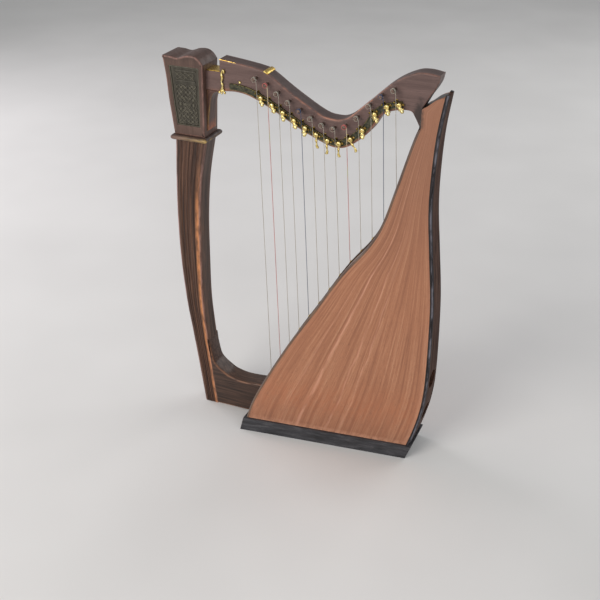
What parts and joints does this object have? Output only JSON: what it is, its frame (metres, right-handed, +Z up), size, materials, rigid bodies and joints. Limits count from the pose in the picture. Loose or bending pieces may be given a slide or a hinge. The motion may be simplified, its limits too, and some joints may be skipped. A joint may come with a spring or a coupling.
{
  "type": "celtic lap harp",
  "caption": "Lap harp with a carved pillar and head, a curved neck with tuning pins and sharping levers, and a hollow soundbox that widens to its foot.",
  "frame": {"origin": "middle of the bounding box, on the floor", "axes": "+X from the pillar to the back of the soundbox, +Y across the thickness away from the strings, +Z up"},
  "size_m": [0.443, 0.141, 0.634],
  "materials": {
    "pillar_wood": "oiled, worn",
    "head_wood": "oiled, worn",
    "carved_panel": "carved, greyed",
    "collar_wood": "oiled, worn",
    "knee_wood": "oiled, worn",
    "inner_wood": "raw",
    "neck_wood": "satin varnish",
    "bracket_wood": "satin varnish",
    "side_wood": "satin varnish",
    "soundboard_wood": "satin varnish",
    "back_wood": "satin varnish",
    "binding_wood": "glossy dark stain",
    "top_wood": "dark stain",
    "base_wood": "dark stain",
    "plinth_wood": "dark stain",
    "rib_wood": "oiled",
    "brass": "polished, aged",
    "aged_brass": "aged",
    "patinated_metal": "dark green patina",
    "pin_metal": "aged",
    "lever_brass": "polished",
    "string_clear": "clear nylon",
    "string_red": "dyed nylon",
    "string_blue": "dyed nylon"
  },
  "bodies": {
    "harp_frame": {"pillar": "pillar_wood", "pillar_head": "head_wood", "knot_panel_left": "carved_panel", "knot_panel_right": "carved_panel", "pillar_collar": "collar_wood", "knee_block": "knee_wood", "joint_dowels": "inner_wood", "neck": "neck_wood", "neck_bracket": "bracket_wood", "neck_saddle_plate": "aged_brass", "neck_end_ornament": "brass", "neck_peak_cap": "brass", "lever_rail": "patinated_metal", "lever_brackets": "brass", "bracket_screws": "brass", "bridge_pins": "brass", "side_panel_left": "side_wood", "side_panel_right": "side_wood", "soundboard": "soundboard_wood", "back_panel": "back_wood", "edge_binding_left": "binding_wood", "edge_binding_right": "binding_wood", "top_block": "top_wood", "base_board": "base_wood", "base_plinth": "plinth_wood", "cross_braces": "inner_wood", "outer_string_rib": "rib_wood", "inner_string_rib": "inner_wood", "string_eyelets": "brass", "string_knots": "string_clear", "strings_nylon": "string_clear", "strings_red": "string_red", "strings_blue": "string_blue"},
    "tuning_pin_01": {"tuning_pin_01": "pin_metal"},
    "tuning_pin_02": {"tuning_pin_02": "pin_metal"},
    "tuning_pin_03": {"tuning_pin_03": "pin_metal"},
    "tuning_pin_04": {"tuning_pin_04": "pin_metal"},
    "tuning_pin_05": {"tuning_pin_05": "pin_metal"},
    "tuning_pin_06": {"tuning_pin_06": "pin_metal"},
    "tuning_pin_07": {"tuning_pin_07": "pin_metal"},
    "tuning_pin_08": {"tuning_pin_08": "pin_metal"},
    "tuning_pin_09": {"tuning_pin_09": "pin_metal"},
    "tuning_pin_10": {"tuning_pin_10": "pin_metal"},
    "tuning_pin_11": {"tuning_pin_11": "pin_metal"},
    "tuning_pin_12": {"tuning_pin_12": "pin_metal"},
    "tuning_pin_13": {"tuning_pin_13": "pin_metal"},
    "lever_01": {"lever_01": "lever_brass"},
    "lever_02": {"lever_02": "lever_brass"},
    "lever_03": {"lever_03": "lever_brass"},
    "lever_04": {"lever_04": "lever_brass"},
    "lever_05": {"lever_05": "lever_brass"},
    "lever_06": {"lever_06": "lever_brass"},
    "lever_07": {"lever_07": "lever_brass"},
    "lever_08": {"lever_08": "lever_brass"},
    "lever_09": {"lever_09": "lever_brass"},
    "lever_10": {"lever_10": "lever_brass"},
    "lever_11": {"lever_11": "lever_brass"},
    "lever_12": {"lever_12": "lever_brass"},
    "lever_13": {"lever_13": "lever_brass"}
  },
  "joints": [
    {"name": "tuning_pin_01_turn", "type": "hinge", "parent": "harp_frame", "child": "tuning_pin_01", "pos_m": [-0.0705, 0, 0.59722], "axis": [0, -1, 0], "continuous": true},
    {"name": "tuning_pin_02_turn", "type": "hinge", "parent": "harp_frame", "child": "tuning_pin_02", "pos_m": [-0.05283, 0, 0.59068], "axis": [0, -1, 0], "continuous": true},
    {"name": "tuning_pin_03_turn", "type": "hinge", "parent": "harp_frame", "child": "tuning_pin_03", "pos_m": [-0.03517, 0, 0.58024], "axis": [0, -1, 0], "continuous": true},
    {"name": "tuning_pin_04_turn", "type": "hinge", "parent": "harp_frame", "child": "tuning_pin_04", "pos_m": [-0.0175, 0, 0.56953], "axis": [0, -1, 0], "continuous": true},
    {"name": "tuning_pin_05_turn", "type": "hinge", "parent": "harp_frame", "child": "tuning_pin_05", "pos_m": [0.00017, 0, 0.55952], "axis": [0, -1, 0], "continuous": true},
    {"name": "tuning_pin_06_turn", "type": "hinge", "parent": "harp_frame", "child": "tuning_pin_06", "pos_m": [0.01783, 0, 0.55027], "axis": [0, -1, 0], "continuous": true},
    {"name": "tuning_pin_07_turn", "type": "hinge", "parent": "harp_frame", "child": "tuning_pin_07", "pos_m": [0.0355, 0, 0.5426], "axis": [0, -1, 0], "continuous": true},
    {"name": "tuning_pin_08_turn", "type": "hinge", "parent": "harp_frame", "child": "tuning_pin_08", "pos_m": [0.05317, 0, 0.53953], "axis": [0, -1, 0], "continuous": true},
    {"name": "tuning_pin_09_turn", "type": "hinge", "parent": "harp_frame", "child": "tuning_pin_09", "pos_m": [0.07083, 0, 0.54529], "axis": [0, -1, 0], "continuous": true},
    {"name": "tuning_pin_10_turn", "type": "hinge", "parent": "harp_frame", "child": "tuning_pin_10", "pos_m": [0.0885, 0, 0.56034], "axis": [0, -1, 0], "continuous": true},
    {"name": "tuning_pin_11_turn", "type": "hinge", "parent": "harp_frame", "child": "tuning_pin_11", "pos_m": [0.10617, 0, 0.58054], "axis": [0, -1, 0], "continuous": true},
    {"name": "tuning_pin_12_turn", "type": "hinge", "parent": "harp_frame", "child": "tuning_pin_12", "pos_m": [0.12383, 0, 0.59633], "axis": [0, -1, 0], "continuous": true},
    {"name": "tuning_pin_13_turn", "type": "hinge", "parent": "harp_frame", "child": "tuning_pin_13", "pos_m": [0.1415, 0, 0.60723], "axis": [0, -1, 0], "continuous": true},
    {"name": "lever_01_flip", "type": "hinge", "parent": "harp_frame", "child": "lever_01", "pos_m": [-0.063, 0, 0.56854], "axis": [0, -1, 0], "range_deg": [-20, 25]},
    {"name": "lever_02_flip", "type": "hinge", "parent": "harp_frame", "child": "lever_02", "pos_m": [-0.04533, 0, 0.5601], "axis": [0, -1, 0], "range_deg": [-30, 15]},
    {"name": "lever_03_flip", "type": "hinge", "parent": "harp_frame", "child": "lever_03", "pos_m": [-0.02767, 0, 0.5509], "axis": [0, -1, 0], "range_deg": [-12, 33]},
    {"name": "lever_04_flip", "type": "hinge", "parent": "harp_frame", "child": "lever_04", "pos_m": [-0.01, 0, 0.54149], "axis": [0, -1, 0], "range_deg": [-22, 23]},
    {"name": "lever_05_flip", "type": "hinge", "parent": "harp_frame", "child": "lever_05", "pos_m": [0.00767, 0, 0.53283], "axis": [0, -1, 0], "range_deg": [0, 45]},
    {"name": "lever_06_flip", "type": "hinge", "parent": "harp_frame", "child": "lever_06", "pos_m": [0.02533, 0, 0.52511], "axis": [0, -1, 0], "range_deg": [-8, 37]},
    {"name": "lever_07_flip", "type": "hinge", "parent": "harp_frame", "child": "lever_07", "pos_m": [0.043, 0, 0.51862], "axis": [0, -1, 0], "range_deg": [0, 45]},
    {"name": "lever_08_flip", "type": "hinge", "parent": "harp_frame", "child": "lever_08", "pos_m": [0.06067, 0, 0.51683], "axis": [0, -1, 0], "range_deg": [-4, 41]},
    {"name": "lever_09_flip", "type": "hinge", "parent": "harp_frame", "child": "lever_09", "pos_m": [0.07833, 0, 0.52586], "axis": [0, -1, 0], "range_deg": [-32, 13]},
    {"name": "lever_10_flip", "type": "hinge", "parent": "harp_frame", "child": "lever_10", "pos_m": [0.096, 0, 0.54183], "axis": [0, -1, 0], "range_deg": [-10, 35]},
    {"name": "lever_11_flip", "type": "hinge", "parent": "harp_frame", "child": "lever_11", "pos_m": [0.11367, 0, 0.56774], "axis": [0, -1, 0], "range_deg": [-26, 19]},
    {"name": "lever_12_flip", "type": "hinge", "parent": "harp_frame", "child": "lever_12", "pos_m": [0.13133, 0, 0.58102], "axis": [0, -1, 0], "range_deg": [-18, 27]},
    {"name": "lever_13_flip", "type": "hinge", "parent": "harp_frame", "child": "lever_13", "pos_m": [0.149, 0, 0.58593], "axis": [0, -1, 0], "range_deg": [-35, 10]}
  ]
}
